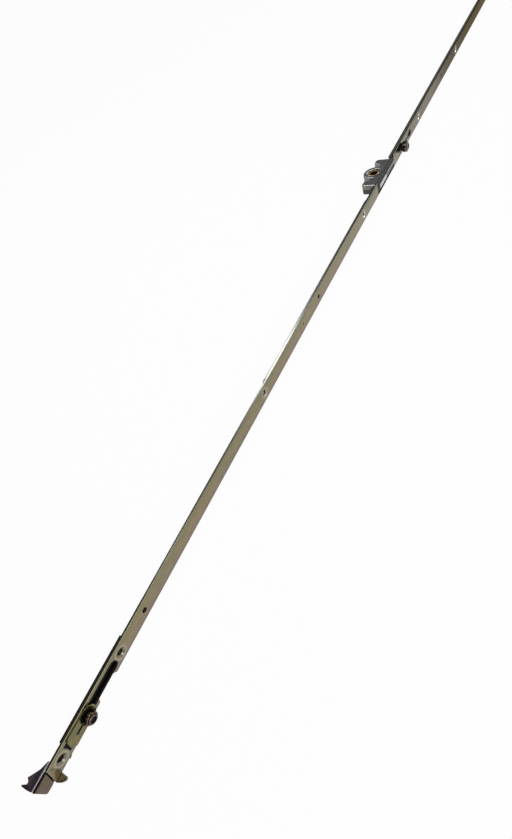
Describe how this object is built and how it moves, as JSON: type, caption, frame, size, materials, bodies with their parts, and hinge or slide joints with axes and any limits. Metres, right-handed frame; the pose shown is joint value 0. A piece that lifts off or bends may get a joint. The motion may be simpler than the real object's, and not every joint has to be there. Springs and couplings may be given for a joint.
{
  "type": "window espagnolette gearbox",
  "caption": "Window espagnolette: long faceplate with a spindle-driven gearbox, sliding drive rods, locking cams, a window carriage and a folded end bracket.",
  "frame": {"origin": "on the spindle's axis, at the middle of the gearbox's thickness", "axes": "+X to the front of the faceplate, +Y along the bar to its upper end, +Z along the spindle's axis"},
  "size_m": [0.0381, 1.3714, 0.0175],
  "materials": {
    "plated_steel": "yellow-chromated zinc plating, satin",
    "rod_steel": "zinc plated, dull",
    "zinc_casting": "die-cast zinc, satin",
    "follower_brass": "yellow-chromated, satin",
    "cam_steel": "chromated steel, satin",
    "black_plastic": "black, fine grain"
  },
  "bodies": {
    "frame": {"faceplate": "plated_steel", "case_upper": "zinc_casting", "case_lower": "zinc_casting", "case_rivets": "zinc_casting", "rod_guides": "black_plastic", "carriage_tray": "black_plastic", "end_bracket": "plated_steel", "bracket_rivets": "plated_steel"},
    "drive": {"rack": "rod_steel", "lower_rod": "rod_steel", "middle_rod": "rod_steel", "upper_rod": "rod_steel", "rack_rivets": "rod_steel", "lap_rivets": "rod_steel", "carriage_plate": "plated_steel", "lower_cam_washer": "cam_steel", "lower_cam_pin": "cam_steel", "upper_cam_collar": "cam_steel", "upper_cam_pin": "cam_steel"},
    "follower": {"follower_pinion": "follower_brass"},
    "lower_roller": {"lower_cam_roller": "cam_steel"},
    "upper_roller": {"upper_cam_roller": "cam_steel"}
  },
  "joints": [
    {"name": "rod_slide", "type": "slide", "parent": "frame", "child": "drive", "axis": [0, 1, 0], "range_m": [0, 0.03456]},
    {"name": "follower_turn", "type": "hinge", "parent": "frame", "child": "follower", "pos_m": [0, 0, 0], "axis": [0, 0, 1], "range_deg": [0, 180]},
    {"name": "lower_roller_spin", "type": "hinge", "parent": "drive", "child": "lower_roller", "pos_m": [0.0205, -0.6785, 0], "axis": [1, 0, 0], "continuous": true},
    {"name": "upper_roller_spin", "type": "hinge", "parent": "drive", "child": "upper_roller", "pos_m": [0.0195, 0.0725, 0], "axis": [1, 0, 0], "continuous": true}
  ],
  "couplings": [
    {"joint": "follower_turn", "follows": "rod_slide", "rad_per_m": 90.909}
  ]
}
